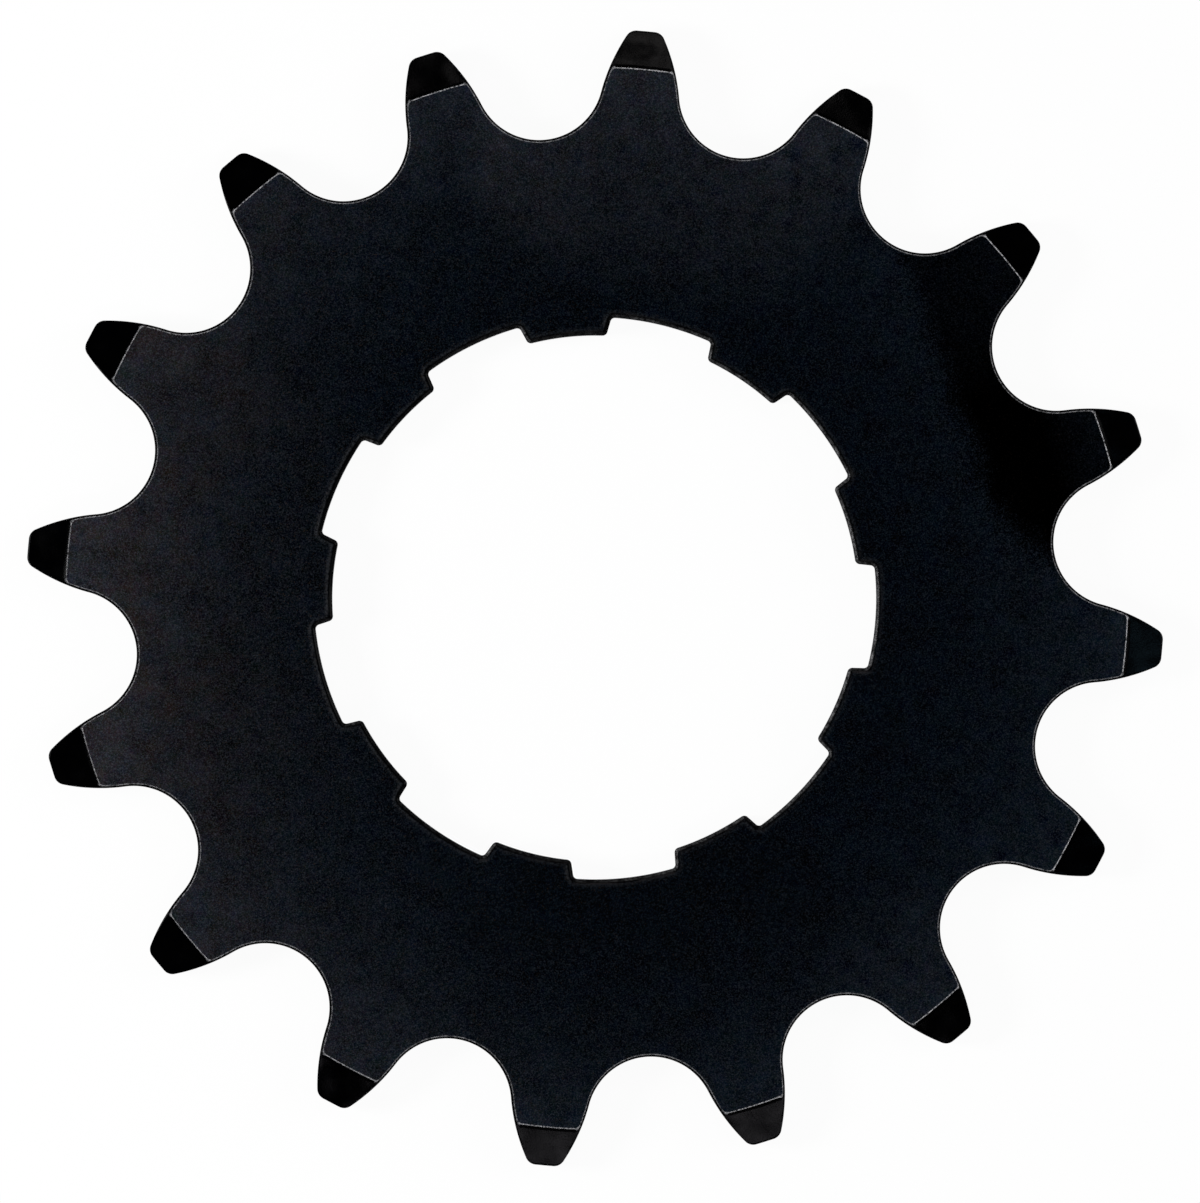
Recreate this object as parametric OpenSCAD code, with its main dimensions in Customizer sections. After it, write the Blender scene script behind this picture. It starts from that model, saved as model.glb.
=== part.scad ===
// Chain sprocket: a flat steel plate with roller-chain teeth and a splined bore.
// It lies flat on its back face, with the axis along Z and a spline land on +Y. Sizes in mm.

/* [Chain] */
// number of teeth
teeth = 16; // [13:1:20]
// distance between the chain's rollers
chain_pitch = 12.7; // [12.4:0.05:13]
// diameter of the chain's rollers
roller_d = 7.75; // [7.5:0.05:8]

/* [Tooth form] */
// room left around a roller in its seat
seat_clearance = 0.115; // [0.05:0.005:0.2]
// angle over which the seat wraps the roller
seating_angle = 138; // [135:1:140]
// radius of the rounded tooth flank
flank_r = 11.9; // [10.5:0.1:14]
// height of the tooth tip over the pitch circle
tip_height = 2.85; // [2.3:0.05:3]
// rounding of the two corners of a tip
tip_corner_r = 0.7; // [0.45:0.05:0.8]

/* [Plate] */
// thickness of the plate
plate_t = 2.2; // [1.9:0.1:3]
// radial length of the turned bevel on the tooth tips
bevel_len = 2.4; // [1.8:0.1:3]
// thickness left at the tips between the two bevels
tip_t = 1.05; // [0.8:0.05:1.3]
// width of the broken edges
edge_break = 0.15; // [0.08:0.01:0.18]

/* [Splined bore] */
// number of lands
spline_count = 9; // [7:1:10]
// diameter over the floors of the grooves
groove_d = 34.97; // [34.4:0.01:36]
// diameter inside the lands
land_d = 32.69; // [32:0.01:33.2]
// width of a land at half its height
land_w = 5.32; // [4.4:0.02:6]
// slant of a land's sides from its centre line
land_slant = 22.3; // [16:0.1:26]
// rounding of a land's corners
land_corner_r = 0.32; // [0.26:0.02:0.4]
// rounding where a land meets the groove floor
groove_corner_r = 0.28; // [0.2:0.02:0.36]

/* [Hidden] */
$fn = 128;

// arcs that meet run into one another by this much
blend = 0.001;
// cutters run past the faces by this much
past = 0.05;

// chain geometry, seen with a tooth gap on +X
half_tooth = 180 / teeth;
pitch_r = chain_pitch / (2 * sin(half_tooth));
tip_r = pitch_r + tip_height;
seat_r = roller_d / 2 + seat_clearance;
seat_c = [pitch_r + seat_clearance, 0];
seat_end = [-cos(seating_angle / 2), sin(seating_angle / 2)];
flank_c = seat_c + (seat_r + flank_r) * seat_end;

// centre of the tip rounding, from the triangle of the axis, the flank centre and itself
flank_far = norm(flank_c);
corner_far = tip_r - tip_corner_r;
corner_near = flank_r - tip_corner_r;
corner_turn = acos((flank_far ^ 2 + corner_far ^ 2 - corner_near ^ 2) / (2 * flank_far * corner_far));
corner_a = atan2(flank_c.y, flank_c.x) - corner_turn;
corner_c = corner_far * [cos(corner_a), sin(corner_a)];

// spline geometry, seen with a groove on +X and a land to each side of it
half_spline = 180 / spline_count;
groove_r = groove_d / 2;
land_r = land_d / 2;
side_r = (groove_r + land_r) / 2;
side_a = half_spline - asin(land_w / 2 / side_r);
side_p = side_r * [cos(side_a), sin(side_a)];
side_turn = half_spline - land_slant;
side_along = [cos(side_turn), sin(side_turn)];
side_in = [-sin(side_turn), cos(side_turn)];
fillet_c = on_circle(side_p - groove_corner_r * side_in, side_along, groove_r - groove_corner_r);
round_c = on_circle(side_p + land_corner_r * side_in, side_along, land_r + land_corner_r);

function unit(v) = v / norm(v);

// point at radius r on the line through p along d
function on_circle(p, d, r) = p + (sqrt((p * d) ^ 2 - p * p + r * r) - p * d) * d;

// half section of a wall at distance r with both edges broken; flare 1 widens to the faces, -1 narrows
function wall_section(r, flare, inner) = [
    [inner, -past],
    [r + flare * (edge_break + past), -past],
    [r, edge_break],
    [r, plate_t - edge_break],
    [r + flare * (edge_break + past), plate_t + past],
    [inner, plate_t + past]
];

// round hole cutter with flared ends
module hole(r) {
    rotate_extrude()
        polygon(wall_section(r, 1, 0));
}

// round disc with broken edges, taller than the plate by the run-out at each face
module disc(r) {
    rotate_extrude()
        polygon(wall_section(r, -1, 0));
}

// corner block with its point at p, opening between directions a and b
module corner(p, a, b, size) {
    translate([0, 0, -2 * past])
        linear_extrude(height = plate_t + 4 * past)
            polygon([p, p + size * a, p + size * (a + b), p + size * b]);
}

// turned plate with a bevelled rim on both faces
module blank() {
    bevel_t = (plate_t - tip_t) / 2;
    rotate_extrude()
        polygon([
            [0, 0],
            [tip_r - bevel_len, 0],
            [tip_r, bevel_t],
            [tip_r, plate_t - bevel_t],
            [tip_r - bevel_len, plate_t],
            [0, plate_t]
        ]);
}

// rounds the corner of the tooth on the +Y side of a gap
module tip_rounding() {
    difference() {
        corner(corner_c, unit(corner_c - flank_c), unit(corner_c), 1.5 * tip_corner_r);
        translate([corner_c.x, corner_c.y, -3 * past])
            cylinder(r = tip_corner_r + 2 * blend, h = plate_t + 6 * past);
    }
}

// space between two teeth: the roller seat, the mouth between the flanks and the rounded tips
module tooth_gap() {
    inner = seat_c + (seat_r + flank_r / 12) * seat_end;
    outer = (tip_r + tip_height) * [cos(half_tooth), sin(half_tooth)];
    translate(seat_c)
        hole(seat_r);
    difference() {
        translate([0, 0, -past / 2])
            linear_extrude(height = plate_t + past)
                polygon([
                    seat_c,
                    [inner.x, -inner.y],
                    [outer.x, -outer.y],
                    outer,
                    inner
                ]);
        for (side = [1, -1])
            translate([flank_c.x, side * flank_c.y, 0])
                disc(flank_r + blend);
    }
    tip_rounding();
    mirror([0, 1, 0])
        tip_rounding();
}

// everything on the groove's side of one land side, with flared edges
module land_side() {
    translate(side_p)
        rotate([90, 0, 90 + side_turn])
            translate([0, 0, -groove_r / 6])
                linear_extrude(height = groove_r / 3)
                    polygon(wall_section(0, 1, -groove_r));
}

// groove of the bore with rounded floor corners
module groove() {
    difference() {
        intersection() {
            hole(groove_r);
            land_side();
            mirror([0, 1, 0])
                land_side();
        }
        for (side = [0, 1])
            mirror([0, side, 0])
                difference() {
                    corner(fillet_c, side_in, unit(fillet_c), 4 * groove_corner_r);
                    translate(fillet_c)
                        hole(groove_corner_r + blend);
                }
    }
}

// rounds the corner of the land on the +Y side of a groove
module land_rounding() {
    difference() {
        corner(round_c, -side_in, -unit(round_c), 2 * land_corner_r);
        translate([round_c.x, round_c.y, -3 * past])
            cylinder(r = land_corner_r + blend, h = plate_t + 6 * past);
    }
}

// bore with its lands left standing
module splined_bore() {
    hole(land_r);
    for (i = [0:spline_count - 1])
        rotate(90 + half_spline + 2 * half_spline * i) {
            groove();
            land_rounding();
            mirror([0, 1, 0])
                land_rounding();
        }
}

module sprocket() {
    color([0.03, 0.03, 0.035])
        difference() {
            blank();
            for (i = [0:teeth - 1])
                rotate(90 + 2 * half_tooth * i)
                    tooth_gap();
            splined_bore();
        }
}

sprocket();
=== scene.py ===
# Chain sprocket: a black coated steel plate with sixteen teeth and a splined bore, lying on a pale floor.
import math

import bpy
import numpy as np
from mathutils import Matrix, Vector
from mathutils.geometry import delaunay_2d_cdt


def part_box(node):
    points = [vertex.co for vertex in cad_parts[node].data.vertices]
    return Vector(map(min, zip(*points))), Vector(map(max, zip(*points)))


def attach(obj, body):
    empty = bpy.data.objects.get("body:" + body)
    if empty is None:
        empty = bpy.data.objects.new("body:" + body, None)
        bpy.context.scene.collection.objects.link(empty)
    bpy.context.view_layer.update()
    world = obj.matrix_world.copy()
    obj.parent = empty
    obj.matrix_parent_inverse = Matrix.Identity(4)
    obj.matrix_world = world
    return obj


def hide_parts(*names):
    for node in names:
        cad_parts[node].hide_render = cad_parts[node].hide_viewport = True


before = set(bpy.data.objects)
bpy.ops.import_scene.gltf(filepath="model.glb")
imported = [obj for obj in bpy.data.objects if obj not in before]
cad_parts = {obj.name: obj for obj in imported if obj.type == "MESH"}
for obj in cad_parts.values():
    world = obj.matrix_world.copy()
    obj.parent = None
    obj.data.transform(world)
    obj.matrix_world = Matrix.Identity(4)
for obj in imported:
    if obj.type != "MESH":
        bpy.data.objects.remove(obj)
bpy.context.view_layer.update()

MM = 0.001
ORIGIN = np.zeros(2)

# driving dimensions, in mm and degrees
TEETH = 16
CHAIN_PITCH = 12.7
ROLLER_D = 7.75
SEAT_CLEARANCE = 0.115
SEATING_ANGLE = 138
FLANK_R = 11.9
TIP_HEIGHT = 2.85
TIP_CORNER_R = 0.7
BEVEL_LEN = 2.4
TIP_T = 1.05
SPLINES = 9
GROOVE_D = 34.97
LAND_D = 32.69
LAND_W = 5.32
LAND_SLANT = 22.3
LAND_CORNER_R = 0.32
GROOVE_CORNER_R = 0.28

# fine detail of the edges
EDGE_W = 0.145
TIP_EDGE_W = 0.06
BORE_EDGE_W = 0.18
BORE_DARK_W = 0.22
BORE_HALO_W = 0.35
BORE_HALO_END = 0.56
EDGE_SLOPE = 0.78
EDGE_ROUND = 0.2
FACE_CORNER_R = 0.38
LINE_W = 0.05
STEP_W = 0.2
STEP_H = 0.034
FACE_OFF_CENTRE = 0.02
BEVEL_OFF_CENTRE = 0.11

# how the part lies in the picture
TURN = math.radians(-6.13)
VIEW_D = 1600
FRAME_H = 74.765
VIEW_RIGHT = 0.3055
VIEW_UP = -0.197

# derived sizes
low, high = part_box("sprocket")
plate_t = (high.z - low.z) / MM
half_tooth = math.pi / TEETH
pitch_r = CHAIN_PITCH / (2 * math.sin(half_tooth))
tip_r = pitch_r + TIP_HEIGHT
bevel_r = tip_r - BEVEL_LEN
bevel_slope = (plate_t - TIP_T) / 2 / BEVEL_LEN
seat_r = ROLLER_D / 2 + SEAT_CLEARANCE
seat_a = math.pi - math.radians(SEATING_ANGLE / 2)
half_spline = math.pi / SPLINES
groove_r = GROOVE_D / 2
land_r = LAND_D / 2


def polar(a):
    """Unit vectors at angles a."""
    return np.stack([np.cos(a), np.sin(a)], -1)


def angle(v):
    return math.atan2(v[1], v[0])


def turned(p, a):
    """Points p turned by a about the axis."""
    c, s = math.cos(a), math.sin(a)
    return p @ np.array([[c, s], [-s, c]])


def steps(a, b, n):
    """Angles from a to b in n steps, without a itself."""
    return np.linspace(a, b, n + 1)[1:]


def meet(c1, r1, c2, r2):
    """Point at r1 from c1 and r2 from c2, on the clockwise side of the line from c1 to c2."""
    gap = np.linalg.norm(c2 - c1)
    along = (c2 - c1) / gap
    x = (gap ** 2 + r1 ** 2 - r2 ** 2) / (2 * gap)
    y = math.sqrt(r1 ** 2 - x ** 2)
    return c1 + x * along + y * np.array([along[1], -along[0]])


def on_circle(p, d, c, r):
    """Point at r from c on the line through p along d."""
    q = p - c
    k = q @ d
    return p + (math.sqrt(k * k - q @ q + r * r) - k) * d


seat_c = np.array([pitch_r + SEAT_CLEARANCE, 0.0])
flank_c = seat_c + (seat_r + FLANK_R) * polar(seat_a)
corner_c = meet(ORIGIN, tip_r - TIP_CORNER_R, flank_c, FLANK_R - TIP_CORNER_R)
face_c = FACE_OFF_CENTRE * polar(TURN)
bevel_c = BEVEL_OFF_CENTRE * polar(TURN)

# steps along half a tooth gap: seat, flank beside the face, and the three arcs round the tip
SEAT_N = 26
FLANK_N = 12
TIP_N = (9, 10, 5)
CORNER_N = 9


def half_gap(shift, centre, inset):
    """From a gap's bottom to the next tooth's middle, seen with the gap on +X: rim points, points of the
    face's border moved in by inset, and how far each is on the bevel. The face's border is set off by shift
    and the bevel turned about centre."""
    face_corner = meet(centre, bevel_r - FACE_CORNER_R, flank_c + shift, FLANK_R - EDGE_W - FACE_CORNER_R)
    turn_a = angle(face_corner - flank_c - shift)
    seat = polar(np.linspace(math.pi, seat_a, SEAT_N + 1))
    flank = polar(steps(seat_a - math.pi, turn_a, FLANK_N))
    corner_a = angle(corner_c - flank_c)
    rim = np.concatenate([
        seat_c + seat_r * seat,
        flank_c + FLANK_R * flank,
        flank_c + FLANK_R * polar(steps(turn_a, corner_a, TIP_N[0])),
        corner_c + TIP_CORNER_R * polar(steps(corner_a, angle(corner_c), TIP_N[1])),
        tip_r * polar(steps(angle(corner_c), half_tooth, TIP_N[2])),
    ])
    bevel_a = angle(face_corner - centre)
    last = on_circle(ORIGIN, polar(half_tooth), centre, bevel_r)
    face = np.concatenate([
        seat_c + shift + (seat_r + EDGE_W + inset) * seat,
        flank_c + shift + (FLANK_R - EDGE_W - inset) * flank,
        face_corner + (FACE_CORNER_R - inset) * polar(steps(turn_a, bevel_a, CORNER_N)),
        centre + (bevel_r - inset) * polar(steps(bevel_a, angle(last - centre), sum(TIP_N) - CORNER_N)),
    ])
    count = SEAT_N + 1 + FLANK_N
    share = np.zeros(len(rim))
    share[count:] = np.clip(np.arange(1, sum(TIP_N) + 1) / CORNER_N, 0, 1)
    return rim, face, share * share * (3 - 2 * share)


def tooth_ring(inset):
    """The whole outline, counter-clockwise."""
    rims, faces, shares = [], [], []
    flip = np.array([1, -1])
    for i in range(TEETH):
        a = math.pi / 2 + 2 * half_tooth * i
        shift, centre = turned(face_c, -a), turned(bevel_c, -a)
        rim, face, share = half_gap(shift * flip, centre * flip, inset)
        rims.append(turned(rim[:0:-1] * flip, a))
        faces.append(turned(face[:0:-1] * flip, a))
        shares.append(share[:0:-1])
        rim, face, share = half_gap(shift, centre, inset)
        rims.append(turned(rim[:-1], a))
        faces.append(turned(face[:-1], a))
        shares.append(share[:-1])
    return np.concatenate(rims), np.concatenate(faces), np.concatenate(shares)


side_r = (groove_r + land_r) / 2
side_p = side_r * polar(half_spline - math.asin(LAND_W / 2 / side_r))
side_turn = half_spline - math.radians(LAND_SLANT)
side_along = polar(side_turn)
side_in = polar(side_turn + math.pi / 2)
fillet_c = on_circle(side_p - GROOVE_CORNER_R * side_in, side_along, ORIGIN, groove_r - GROOVE_CORNER_R)

# steps along half a groove: floor, fillet, side, land corner and land
BORE_N = (10, 8, 4, 9, 9)


def half_groove(inset):
    """From a groove's middle to the next land's middle, seen with the groove on +X, moved in by inset."""
    floor_a = angle(fillet_c)
    side_a = angle(side_in)
    corner_r = max(LAND_CORNER_R - inset, LINE_W)
    round_c = on_circle(side_p + (inset + corner_r) * side_in, side_along, ORIGIN, land_r + inset + corner_r)
    top = fillet_c + (GROOVE_CORNER_R + inset) * side_in
    foot = round_c - corner_r * side_in
    land_a = angle(round_c)
    return np.concatenate([
        (groove_r + inset) * polar(np.linspace(0, floor_a, BORE_N[0] + 1)),
        fillet_c + (GROOVE_CORNER_R + inset) * polar(steps(floor_a, side_a, BORE_N[1])),
        top + (foot - top) * steps(0, 1, BORE_N[2])[:, None],
        round_c + corner_r * polar(steps(side_a - math.pi, land_a - math.pi, BORE_N[3])),
        (land_r + inset) * polar(steps(land_a, half_spline, BORE_N[4])),
    ])


def bore_ring(inset):
    """The whole bore, counter-clockwise."""
    half = half_groove(inset)
    whole = np.concatenate([half[:0:-1] * np.array([1, -1]), half[:-1]])
    turns = [math.pi / 2 + half_spline + 2 * half_spline * i for i in range(SPLINES)]
    return np.concatenate([turned(whole, a) for a in turns])


def edge_drop(d, width):
    """How far a broken edge falls below the face at distance d from the rim: straight, then turned down."""
    turn = EDGE_ROUND * width
    straight = EDGE_SLOPE * (width - d)
    rounded = EDGE_SLOPE * (width + turn - 2 * np.sqrt(turn * np.maximum(d, 0)))
    return np.where(d > width, 0, np.where(d > turn, straight, rounded))


# rows from the face's border to the rim, as shares of the way left to the rim; rows on a bevel's edge, and
# rows over the step at its foot, in widths of the step; steps down the wall
PLAIN_ROWS = np.array([1, 0.7, 0.5, 0.34, 0.2, 0.13, 0.08, 0.04, 0.01, 0])
TIP_EDGE_ROWS = np.array([0.2, 0.05, 0])
STEP_ROWS = (0, 0.22, 1, 1.3)
WALL_N = 5


def tip_rows(way):
    """The same rows on a bevel: close together at its border and its end, and spread between."""
    cone = way - TIP_EDGE_W
    near = [np.minimum(k * STEP_W, k * cone / 4) for k in STEP_ROWS]
    end = [cone - np.minimum(LINE_W, cone / 8), cone]
    middle = [(near[-1] + end[0]) / 2]
    rows = [1 - d / way for d in near + middle + end]
    return rows + [TIP_EDGE_W / way * k for k in TIP_EDGE_ROWS]


def edge_rows(rim, face, share, widest=math.inf):
    """Rings of points from the face's border down over the broken edge to the top of the wall."""
    way = np.linalg.norm(rim - face, axis=1)
    fall = bevel_slope * np.maximum(np.linalg.norm(rim - bevel_c, axis=1) - bevel_r, 0)
    width = np.minimum(way, widest)
    width = width + share * (TIP_EDGE_W - width)
    rows = []
    for plain, bevelled in zip(PLAIN_ROWS, tip_rows(way)):
        left = plain + share * (bevelled - plain)
        step = share * STEP_H * np.clip(way * (1 - left) / STEP_W, 0, 1)
        z = plate_t - fall * (1 - left) - step - edge_drop(left * way, width)
        flat = rim + (face - rim) * left[:, None]
        rows.append(np.column_stack([flat, z]))
    return rows


def whole_strip(borders, rows):
    """Rings from the front face over the edge, the wall and the other edge to the back face."""
    front = [np.column_stack([ring, np.full(len(ring), plate_t)]) for ring in borders] + rows
    back = [ring * [1, 1, -1] + [0, 0, plate_t] for ring in reversed(front)]
    wall = [front[-1] + (back[0] - front[-1]) * k / WALL_N for k in range(1, WALL_N)]
    return front + wall + back


def inside(points, ring):
    """Which points lie within a closed ring."""
    a, b = ring, np.roll(ring, -1, 0)
    x, y = points[:, 0:1], points[:, 1:2]
    spans = (a[:, 1] > y) != (b[:, 1] > y)
    rise = np.where(b[:, 1] == a[:, 1], 1, b[:, 1] - a[:, 1])
    cross = a[:, 0] + (y - a[:, 1]) * (b[:, 0] - a[:, 0]) / rise
    return (spans & (x < cross)).sum(1) % 2 == 1


rim, face, share = tooth_ring(0)
outer_in = tooth_ring(LINE_W)[1]
outer = whole_strip([outer_in], edge_rows(rim, face, share, EDGE_W + FACE_OFF_CENTRE))
bore_rim = bore_ring(0)
bore_borders = [bore_ring(w) for w in (BORE_HALO_END, BORE_HALO_W, BORE_DARK_W)]
bore_in = bore_borders[0]
bore = whole_strip(bore_borders, edge_rows(bore_rim, bore_ring(BORE_EDGE_W), np.zeros(len(bore_rim))))

# the flat faces, filled between the outer border, the bore and a few rings of points
FILL_ROWS = (0.2, 0.4, 0.6, 0.8)
FILL_N = 120
MERGE = 1e-7
root_r = pitch_r - ROLLER_D / 2
fill_rings = []
for k in FILL_ROWS:
    r = groove_r + k * (root_r - groove_r)
    fill_rings.append(r * polar(np.linspace(0, 2 * math.pi, FILL_N, endpoint=False)))
flat = np.concatenate([outer_in, bore_in] + fill_rings)
n_out, n_bore = len(outer_in), len(bore_in)
loops = [(i, (i + 1) % n_out) for i in range(n_out)]
loops += [(n_out + i, n_out + (i + 1) % n_bore) for i in range(n_bore)]
_, _, filled, origins, _, _ = delaunay_2d_cdt([Vector(p) for p in flat], loops, [], 0, MERGE)
tris = np.array([[origins[v][0] for v in tri] for tri in filled])
middles = flat[tris].mean(1)
tris = tris[inside(middles, outer_in) & ~inside(middles, bore_in)]

points, quads, wear_and_highlight, bevel = [], [], [], []


def add_strip(rings, ring_wear_and_highlight, ring_bevel_shade, outward):
    """Adds rings of points joined by quads; returns the numbers of its first and last ring."""
    first = sum(len(p) for p in points)
    n = len(rings[0])
    points.extend(rings)
    for k in range(len(rings)):
        wear_and_highlight.append(np.zeros(n) + ring_wear_and_highlight[k])
        bevel.append(np.zeros(n) + ring_bevel_shade[k])
    here = np.arange(n)
    after = np.roll(here, -1)
    for k in range(len(rings) - 1):
        a, b = first + k * n, first + (k + 1) * n
        quad = np.column_stack([a + here, b + here, b + after, a + after])
        quads.append(quad if outward else quad[:, ::-1])
    return first + here, first + (len(rings) - 1) * n + here


# how far the coating is rubbed off, and how much painted highlight is added: on the bevels' borders, the
# flanks, round the bore (painted highlight), and on the bore's edges where lit (wear and painted highlight)
# and dull
LINE_WEAR = 0.9
FLANK_WEAR = 0.42
HALO_HIGHLIGHT = 0.03
BORE_WEAR_AND_HIGHLIGHT = 0.14
DULL_WEAR = BORE_WEAR_AND_HIGHLIGHT / 6

# the side where the border lines are brightest, and how much brighter they are there than in the middle
BRIGHT_SIDE = TURN + math.radians(20)
LINE_MORE = 0.33
FLANK_MORE = 0.15

# share of the painted highlight round the bore that is on all sides, and of the bore's wear and highlight on
# the rows of its edge
HALO_PLAIN = 0.4
BRIGHT_ROWS = (0.4, 1, 1, 1, 0.7)
BRIGHT_SPREAD = (0.2, 1.8)
BRIGHT_SEED = 3
rows_n = len(PLAIN_ROWS)


def both_faces(front, wall):
    """One value for each ring of a strip: the front's, the wall's and the front's again for the back."""
    return front + [wall] * (WALL_N - 1) + front[::-1]


def facing(ring, way):
    """How far each place of a counter-clockwise outline faces a way: 1 towards it, -1 away from it."""
    along = np.roll(ring, -1, 0) - np.roll(ring, 1, 0)
    outward = np.column_stack([along[:, 1], -along[:, 0]])
    return outward @ polar(way) / np.linalg.norm(along, axis=1)


# the outer border's lines are a little brighter on one side
on_side = rim @ polar(BRIGHT_SIDE) / np.linalg.norm(rim, axis=1)
flank_line = FLANK_WEAR * (1 + FLANK_MORE * facing(rim, BRIGHT_SIDE))
line = flank_line + share * (LINE_WEAR * (1 + LINE_MORE * on_side) - flank_line)
outer_line = both_faces([0, line] + [0] * (rows_n - 1), 0)
# painted shade: the broken edges, and the walls of the bevelled tips, are coloured black
outer_bevel_shade = both_faces([0, 0] + [1] * (rows_n - 1), share)
outer_front, outer_back = add_strip(outer, outer_line, outer_bevel_shade, True)

# the bore's edge is bare steel, made bright as painted highlight where its wall faces left, towards the
# light, and dull elsewhere; a painted highlight rings it, more where it faces away
to_left = facing(bore_rim, TURN)
worn_and_lit = BORE_WEAR_AND_HIGHLIGHT * np.maximum(to_left, 0) + DULL_WEAR * (1 - to_left ** 2)
worn_and_lit *= np.random.default_rng(BRIGHT_SEED).uniform(*BRIGHT_SPREAD, len(worn_and_lit))
halo_highlight = HALO_HIGHLIGHT * (HALO_PLAIN + (1 - HALO_PLAIN) * np.maximum(-to_left, 0) ** 2)
bore_rows = [worn_and_lit * k for k in BRIGHT_ROWS]
bore_line = both_faces([0, halo_highlight, 0] + bore_rows + [0] * (rows_n - len(BRIGHT_ROWS)), 0)
# painted shade: the bore's broken edge is coloured black
bore_edge_shade = both_faces([0, 0] + [1] * (rows_n + 1), 0)
bore_front, bore_back = add_strip(bore, bore_line, bore_edge_shade, False)

# the points of the flat faces
count = sum(len(p) for p in points)
fill = np.concatenate(fill_rings)
fill_ids = count + np.arange(len(fill))
points.append(np.column_stack([fill, np.full(len(fill), plate_t)]))
points.append(np.column_stack([fill, np.zeros(len(fill))]))
wear_and_highlight.append(np.zeros(2 * len(fill)))
bevel.append(np.zeros(2 * len(fill)))
front_ids = np.concatenate([outer_front, bore_front, fill_ids])
back_ids = np.concatenate([outer_back, bore_back, fill_ids + len(fill)])
faces = np.concatenate(quads).tolist() + front_ids[tris].tolist() + back_ids[tris][:, ::-1].tolist()

mesh = bpy.data.meshes.new("sprocket_plate")
mesh.from_pydata((np.concatenate(points) * MM).tolist(), [], faces)
mesh.polygons.foreach_set("use_smooth", [True] * len(mesh.polygons))
for name, values in (("wear_and_highlight", wear_and_highlight), ("bevel", bevel)):
    layer = mesh.attributes.new(name, "FLOAT", "POINT")
    layer.data.foreach_set("value", np.concatenate(values).astype(np.float32))
mesh.validate()
plate = bpy.data.objects.new("sprocket_plate", mesh)
bpy.context.scene.collection.objects.link(plate)


class Nodes:
    """Short calls to add and link shader nodes."""

    def __init__(self, tree):
        self.tree = tree
        tree.nodes.clear()

    def add(self, kind, inputs=None, **props):
        node = self.tree.nodes.new(kind)
        for key, value in props.items():
            setattr(node, key, value)
        for key, value in (inputs or {}).items():
            self.put(node.inputs[key], value)
        return node

    def put(self, socket, value):
        if isinstance(value, bpy.types.NodeSocket):
            self.tree.links.new(value, socket)
        else:
            socket.default_value = value

    def math(self, op, a, b=0.0, c=0.0, clamp=False):
        return self.add("ShaderNodeMath", {0: a, 1: b, 2: c}, operation=op, use_clamp=clamp).outputs[0]

    def times(self, a, b):
        return self.math("MULTIPLY", a, b)

    def times_plus(self, a, b, c):
        """a times b, plus c."""
        return self.math("MULTIPLY_ADD", a, b, c)

    def vector(self, op, inputs):
        return self.add("ShaderNodeVectorMath", inputs, operation=op).outputs

    def along(self, vector, direction):
        return self.vector("DOT_PRODUCT", {0: vector, 1: (direction[0], direction[1], 0)})["Value"]

    def offset(self, x, y, centre, turn, size):
        """How far a place lies from centre along turn, in units of size."""
        c, s = math.cos(turn), math.sin(turn)
        total = self.math("ADD", self.times(x, c), self.times(y, s))
        return self.math("DIVIDE", self.math("SUBTRACT", total, centre[0] * c + centre[1] * s), size)

    def span(self, value, low, high, to_low=0.0, to_high=1.0):
        keys = {0: value, 1: low, 2: high, 3: to_low, 4: to_high}
        return self.add("ShaderNodeMapRange", keys).outputs[0]

    def smooth(self, value, low, high, to_high=1.0):
        keys = {0: value, 1: low, 2: high, 3: 0.0, 4: to_high}
        return self.add("ShaderNodeMapRange", keys, interpolation_type="SMOOTHSTEP").outputs[0]

    def noise(self, vector, scale, detail, rough, output="Fac"):
        keys = {"Vector": vector, "Scale": scale, "Detail": detail, "Roughness": rough}
        return self.add("ShaderNodeTexNoise", keys).outputs[output]

    def mix(self, fac, a, b, blend="MIX"):
        node = self.add("ShaderNodeMix", data_type="RGBA", blend_type=blend)
        self.put(node.inputs[0], fac)
        self.put(node.inputs[6], a)
        self.put(node.inputs[7], b)
        return node.outputs[2]


# colours of the coating and its grain, of the marks on it and of the steel under it
# the blue is partly the coating's own hue and partly a painted blue reflection from overhead
BLUE_SHEEN = (0.0001, 0.0019, 0.0040, 1)
GREY = (0.0040, 0.0035, 0.0037, 1)
BROWN = (0.0052, 0.0036, 0.0030, 1)
GLINT = (0.9, 1.0, 1.22, 1)
SPOT = (0.0, 0.15, 0.5, 1)
SPECK = (0.024, 0.015, 0.010, 1)
# painted shade: a near-black for bevels and edges that face away from the light
SHADE_BLACK = (0.0001, 0.0001, 0.0002, 1)
# the steel's colour, for rubbed lines and for painted highlights on the bore's edge
BARE_STEEL_AND_HIGHLIGHT = (0.5, 0.5, 0.51, 1)

# noises: scale to the mm, detail and roughness
GRAIN_NOISE = (12.0, 1.5, 0.6)
MOTTLE_NOISE = (0.55, 4.0, 0.7)
CLOUD_NOISE = (0.09, 3.0, 0.55)
BROWN_NOISE = (0.25, 3.0, 0.6)
SPECK_NOISE = (8.3, 1.0, 0.5)
WORN_NOISE = (6.0, 2.0, 0.6)
WAVE_NOISE = (0.6, 0.0, 0.5)

# fine and broad changes of hue: a noise and its strength in red, green and blue
HUES = (
    ((10.0, 1.0, 0.5), (0.9, 0.6, 0.6)),
    ((0.9, 3.0, 0.9), (1.25, 0.3, 1.05)),
)

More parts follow.
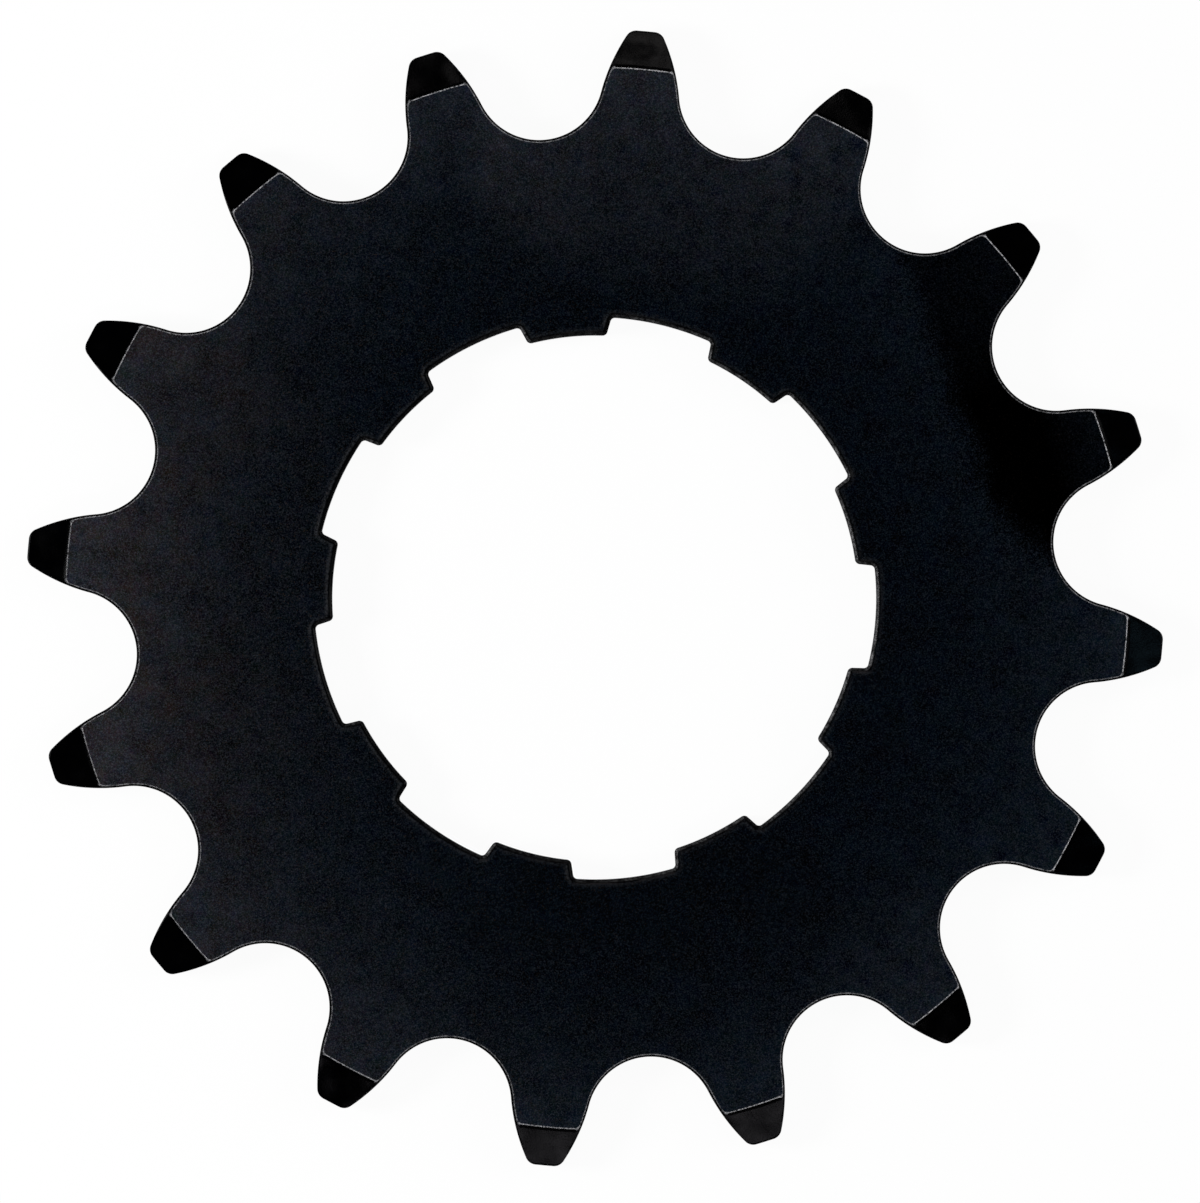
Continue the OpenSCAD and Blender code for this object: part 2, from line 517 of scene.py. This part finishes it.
# a range of a noise and what it comes to
RAGGED_SPAN = (0.3, 0.7, -0.3, 0.3)
MOTTLE_SPAN = (0.3, 0.7, 0.63, 1.37)
BROWN_NOISE_SPAN = (0.4, 0.6)
SPECK_SPAN = (0.66, 0.74)
WORN_SPAN = (0.34, 0.62, 0.1, 1.15)
COAT_ROUGH = (0.3, 0.7, 0.3, 0.42)
CUT_ROUGH = (0.35, 0.65, 0.12, 0.24)

# a range of the way to the right in the picture and what it comes to
# lighter and browner to the left: partly the coating's own tone, partly painted light falling from that side
PALE_LIT_SIDE = (0, -24, 0.2, 1.0)
BROWN_SIDE = (-8, -24)
SPOT_SIDE = (-10, 15)
SPECK_SIDE = (20, -20, 0.1, 0.5)

# soft areas of the coating, in the picture's axes: middle, direction, half sizes and change of tone
AREAS = (
    ((5.0, 28.0), 80, (10.0, 12.0), 3.6),
    ((-15.0, 20.0), 125, (11.0, 9.0), -0.35),
    ((4.0, -21.0), 280, (8.0, 13.0), -0.4),
    ((-30.0, 0.0), 180, (7.0, 12.0), 0.42),
    ((-17.0, -24.0), 236, (10.0, 11.0), -0.12),
    ((20.0, -25.0), 308, (7.0, 7.0), 1.0),
)
AREA_EDGE = (1.3, 0.3)

# an area that is less blue, and a rougher spot on the uppermost bevel
DULL = ((4.0, -22.0), 280, (9.0, 14.0), -0.22)
MATT_SPOT = ((2.5, 34.02), 0, (1.5, 0.62), 0.62)

# a smooth black patch within three straight, soft borders, given by their directions and distances;
# its borders are ragged and grainy, and it is thinner towards the rim and past a line across it
PATCH_SIDE = (17, 24.6)
PATCH_END = (50, 19.8)
PATCH_LOW = (107, -8.2)
PATCH_SOFT = 1.1
PATCH_RAGGED = 2.0
PATCH_MOTTLE = 2.0
PATCH_GRAIN = 2.4
PATCH_RIM = (29.6, 32.6)
PATCH_FADE = (5.0, 10.0)
PATCH_THIN = 0.74
PATCH_GLINT = 0.6
PATCH_SMOOTH = 0.6

# how the coating lightens outwards, against its tone at this distance from the axis
TONE_R = 23
TONE_POWER = 4.0
TONE_OUTER = 0.35
TONE_BLUE = 0.2
RIM_PALE = 0.2

# bright grains: the range of the noise, its power, gain and loss, and their brightness in dark places and
# what pale places add, so they also follow the painted light on the left side
GRAIN_SPAN = (0.2, 0.8)
GRAIN_POWER = 2.6
GRAIN_GAIN = 5.2
GRAIN_LOSS = 0.94
GRAIN = 0.0032
GRAIN_PALE = 0.0017

# round spots: cells to the mm, where a spot ends and is full, and its depth
SPOT_SCALE = 0.6
SPOT_EDGE = (0.42, 0.12)
SPOT_DEPTH = 0.55

# unevenness of the surface in metres, how much more the bevels wave, and the coating's gloss
BUMP_H = 0.00001
BUMP_STRENGTH = 0.6
WAVE_H = 14.0
GLOSS = 0.03


def steel_material():
    """Fine-grained black coating, lighter and browner to one side partly by painted light from there, with a
    partly painted blue reflection and painted shade on its bevels and edges, rubbed bright along its sharp
    borders, with painted highlights round the bore.
    """
    mat = bpy.data.materials.new("black_steel")
    mat.use_nodes = True
    n = Nodes(mat.node_tree)
    place = n.add("ShaderNodeTexCoord").outputs["Object"]
    mm = n.vector("SCALE", {0: place, 3: 1 / MM})[0]
    grain = n.noise(mm, *GRAIN_NOISE)
    mottle = n.noise(mm, *MOTTLE_NOISE)
    cloud = n.noise(mm, *CLOUD_NOISE)
    ragged = n.span(cloud, *RAGGED_SPAN)

    flat = n.vector("MULTIPLY", {0: mm, 1: (1, 1, 0)})[0]
    far = n.vector("LENGTH", {0: flat})["Value"]
    right = n.along(mm, polar(TURN))
    up = n.along(mm, polar(TURN + math.pi / 2))

    def area(middle, turn, sizes, change):
        """1 outside a soft area and 1 + change within it."""
        x = n.offset(right, up, middle, math.radians(turn), sizes[0])
        y = n.offset(right, up, middle, math.radians(turn + 90), sizes[1])
        ring = n.math("ADD", n.times(x, x), n.times(y, y))
        return n.math("ADD", n.smooth(n.math("ADD", ring, ragged), *AREA_EDGE, change), 1.0)

    def patch():
        """How black the patch is at each place, from 0 to 1."""
        out = n.offset(right, up, (0, 0), math.radians(PATCH_SIDE[0]), 1.0)
        across = n.offset(right, up, (0, 0), math.radians(PATCH_SIDE[0] + 90), 1.0)
        at_rim = n.span(out, *PATCH_RIM, 1.0, PATCH_THIN)
        depth = n.math("MINIMUM", n.span(across, *PATCH_FADE, 1.0, PATCH_THIN), at_rim)
        border = n.times(ragged, PATCH_RAGGED)
        for noise, size in ((mottle, PATCH_MOTTLE), (grain, PATCH_GRAIN)):
            border = n.times_plus(n.math("SUBTRACT", 0.5, noise), size, border)
        for turn, edge in (PATCH_SIDE, PATCH_END, PATCH_LOW):
            way = n.math("ADD", n.offset(right, up, (0, 0), math.radians(turn), 1.0), border)
            depth = n.times(depth, n.smooth(way, edge - PATCH_SOFT, edge + PATCH_SOFT))
        return depth

    # the coating's tone and hue: lighter and browner to the left, partly its own tone and partly painted
    # light falling from that side
    pale_and_lit = n.span(right, *PALE_LIT_SIDE)
    for values in AREAS:
        pale_and_lit = n.times(pale_and_lit, area(*values))
    brown_patches = n.span(n.noise(mm, *BROWN_NOISE), *BROWN_NOISE_SPAN)
    brown = n.times(n.span(right, *BROWN_SIDE), brown_patches)
    outward = n.math("POWER", n.math("DIVIDE", far, TONE_R), TONE_POWER)
    pale_and_lit = n.times(pale_and_lit, n.times_plus(outward, TONE_OUTER, 1 - TONE_OUTER))
    pale_and_lit = n.times_plus(n.math("SUBTRACT", outward, 1.0), RIM_PALE, pale_and_lit)
    grey = n.mix(1.0, n.mix(brown, GREY, BROWN), n.math("MAXIMUM", pale_and_lit, 0.0), "MULTIPLY")
    # painted reflection: a blue sheen added as colour to the coating's own grey
    blue_sheen_tone = n.times(n.times_plus(outward, TONE_BLUE, 1 - TONE_BLUE), area(*DULL))
    colour = n.mix(1.0, grey, n.mix(1.0, BLUE_SHEEN, blue_sheen_tone, "MULTIPLY"), "ADD")
    for noise, gain in HUES:
        hues = n.noise(mm, *noise, "Color")
        hues = n.vector("MULTIPLY_ADD", {0: hues, 1: gain, 2: [1 - k / 2 for k in gain]})[0]
        hues = n.vector("MAXIMUM", {0: hues, 1: (0, 0, 0)})[0]
        colour = n.mix(1.0, colour, hues, "MULTIPLY")

    # spots, mottling, the black patch, bright grains and rusty specks
    cells = n.add("ShaderNodeTexVoronoi", {"Vector": flat, "Scale": SPOT_SCALE, "Randomness": 1.0})
    spot = n.smooth(cells.outputs["Distance"], *SPOT_EDGE, SPOT_DEPTH)
    colour = n.mix(n.times(spot, n.span(right, *SPOT_SIDE)), colour, SPOT, "MULTIPLY")
    deep = patch()
    left_over = n.math("SUBTRACT", 1.0, deep)
    colour = n.mix(1.0, colour, n.times(n.span(mottle, *MOTTLE_SPAN), left_over), "MULTIPLY")
    glint = n.math("POWER", n.span(grain, *GRAIN_SPAN), GRAIN_POWER)
    glint = n.times_plus(glint, GRAIN_GAIN, -GRAIN_LOSS)
    glint = n.times(glint, n.times_plus(pale_and_lit, GRAIN_PALE, GRAIN))
    glint = n.times(glint, n.math("POWER", left_over, PATCH_GLINT))
    colour = n.mix(1.0, colour, n.mix(1.0, GLINT, glint, "MULTIPLY"), "ADD")
    colour = n.vector("MAXIMUM", {0: colour, 1: (0, 0, 0)})[0]
    specks = n.span(n.noise(mm, *SPECK_NOISE), *SPECK_SPAN)
    colour = n.mix(n.times(specks, n.span(right, *SPECK_SIDE)), colour, SPECK)

    # painted shade: bevels and edges coloured black; and lines rubbed down to the steel, with painted
    # highlight on the bore's edges
    on_bevel = n.add("ShaderNodeAttribute", attribute_name="bevel").outputs["Fac"]
    colour = n.mix(on_bevel, colour, SHADE_BLACK)
    rubbed_and_lit = n.add("ShaderNodeAttribute", attribute_name="wear_and_highlight").outputs["Fac"]
    worn = n.span(n.noise(mm, *WORN_NOISE), *WORN_SPAN)
    colour = n.mix(n.math("MULTIPLY", rubbed_and_lit, worn, clamp=True), colour, BARE_STEEL_AND_HIGHLIGHT)

    # roughness and unevenness
    coated = n.times(n.span(grain, *COAT_ROUGH), n.times_plus(deep, -PATCH_SMOOTH, 1.0))
    cut = n.span(mottle, *CUT_ROUGH)
    rough = n.times_plus(on_bevel, n.math("SUBTRACT", cut, coated), coated)
    rough = n.times(rough, area(*MATT_SPOT))
    uneven = n.times_plus(n.times(on_bevel, n.noise(mm, *WAVE_NOISE)), WAVE_H, grain)
    bump = n.add("ShaderNodeBump", {"Height": uneven, "Distance": BUMP_H, "Strength": BUMP_STRENGTH})
    shader = n.add("ShaderNodeBsdfPrincipled", {
        "Base Color": colour,
        "Roughness": rough,
        "Specular IOR Level": GLOSS,
        "Normal": bump.outputs[0],
    })
    n.add("ShaderNodeOutputMaterial", {"Surface": shader.outputs[0]})
    return mat


plate.data.materials.append(steel_material())
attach(plate, "root")
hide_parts("sprocket")

# the floor, in metres, its paleness, and how far it looks white
FLOOR_HALF = 4.0
FLOOR_DROP = 0.00005
FLOOR_PALE = 0.92
FLOOR_SEEN = 0.95


def floor_material():
    """White to the eye, with the soft shadow of what lies on it."""
    mat = bpy.data.materials.new("pale_floor")
    mat.use_nodes = True
    n = Nodes(mat.node_tree)
    path = n.add("ShaderNodeLightPath").outputs
    seen = n.math("MAXIMUM", path["Is Camera Ray"], path["Is Glossy Ray"])
    seen = n.math("MAXIMUM", seen, path["Is Transmission Ray"])
    white = n.add("ShaderNodeEmission", {"Color": (1, 1, 1, 1), "Strength": 1.0})
    matt = n.add("ShaderNodeBsdfDiffuse", {"Color": (FLOOR_PALE, FLOOR_PALE, FLOOR_PALE, 1)})
    mixed = n.add("ShaderNodeMixShader", {
        0: n.times(seen, FLOOR_SEEN),
        1: matt.outputs[0],
        2: white.outputs[0],
    })
    n.add("ShaderNodeOutputMaterial", {"Surface": mixed.outputs[0]})
    return mat


floor_z = low.z - FLOOR_DROP
floor_signs = [(-1, -1), (1, -1), (1, 1), (-1, 1)]
floor_corners = [(x * FLOOR_HALF, y * FLOOR_HALF, floor_z) for x, y in floor_signs]
floor_mesh = bpy.data.meshes.new("floor")
floor_mesh.from_pydata(floor_corners, [], [(0, 1, 2, 3)])
floor = bpy.data.objects.new("floor", floor_mesh)
floor.data.materials.append(floor_material())
bpy.context.scene.collection.objects.link(floor)

# soft lamps: place along the picture's axes and height, size, both in metres, power in watts and colour
WHITE = (1.0, 1.0, 1.0)
LAMPS = (
    ("left_lamp", (-0.27, 0.0, 0.162), (0.09, 0.09), 0.9, WHITE),
    ("right_lamp", (0.5, 0.1, 0.28), (0.3, 0.3), 1.3, WHITE),
    ("top_card", (0.03, 0.40, 0.70), (0.18, 0.14), 0.53, (1.0, 0.95, 0.95)),
    ("bottom_card", (0.04, -0.40, 0.70), (0.26, 0.14), 0.93, (1.0, 0.96, 1.04)),
    ("right_card", (0.40, -0.035, 0.70), (0.10, 0.10), 0.175, (0.45, 0.77, 1.0)),
)

# the room: from level to this height of the view, its light goes from the first strength to the second
ROOM = (0.0, 0.75, 0.6, 0.02)


def picture(right, up, height):
    """Place given along the picture's axes, in metres."""
    flat = turned(np.array([right, up]), TURN)
    return Vector((flat[0], flat[1], height))


def lamp(name, place, size, power, colour):
    """Soft lamp that faces the part."""
    data = bpy.data.lights.new(name, "AREA")
    data.shape = "RECTANGLE"
    data.size, data.size_y = size
    data.energy = power
    data.color = colour
    obj = bpy.data.objects.new(name, data)
    obj.location = picture(*place)
    obj.rotation_euler = (-obj.location).to_track_quat("-Z", "Y").to_euler()
    bpy.context.scene.collection.objects.link(obj)


for values in LAMPS:
    lamp(*values)

world = bpy.data.worlds.new("studio")
world.use_nodes = True
room = Nodes(world.node_tree)
view_way = room.add("ShaderNodeTexCoord").outputs["Generated"]
view_height = room.add("ShaderNodeSeparateXYZ", {0: view_way}).outputs[2]
level = room.span(view_height, *ROOM)
backdrop = room.add("ShaderNodeBackground", {"Color": (1, 1, 1, 1), "Strength": level})
room.add("ShaderNodeOutputWorld", {"Surface": backdrop.outputs[0]})
bpy.context.scene.world = world

SENSOR_H = 36
NEAREST = 0.01
camera_data = bpy.data.cameras.new("camera")
camera_data.sensor_fit = "VERTICAL"
camera_data.sensor_height = SENSOR_H
camera_data.lens = SENSOR_H * VIEW_D / FRAME_H
camera_data.clip_start = NEAREST
camera = bpy.data.objects.new("camera", camera_data)
camera.location = picture(VIEW_RIGHT * MM, VIEW_UP * MM, high.z + VIEW_D * MM)
camera.rotation_euler = (0, 0, TURN)
bpy.context.scene.collection.objects.link(camera)
bpy.context.scene.camera = camera
bpy.context.scene.view_settings.view_transform = "Standard"
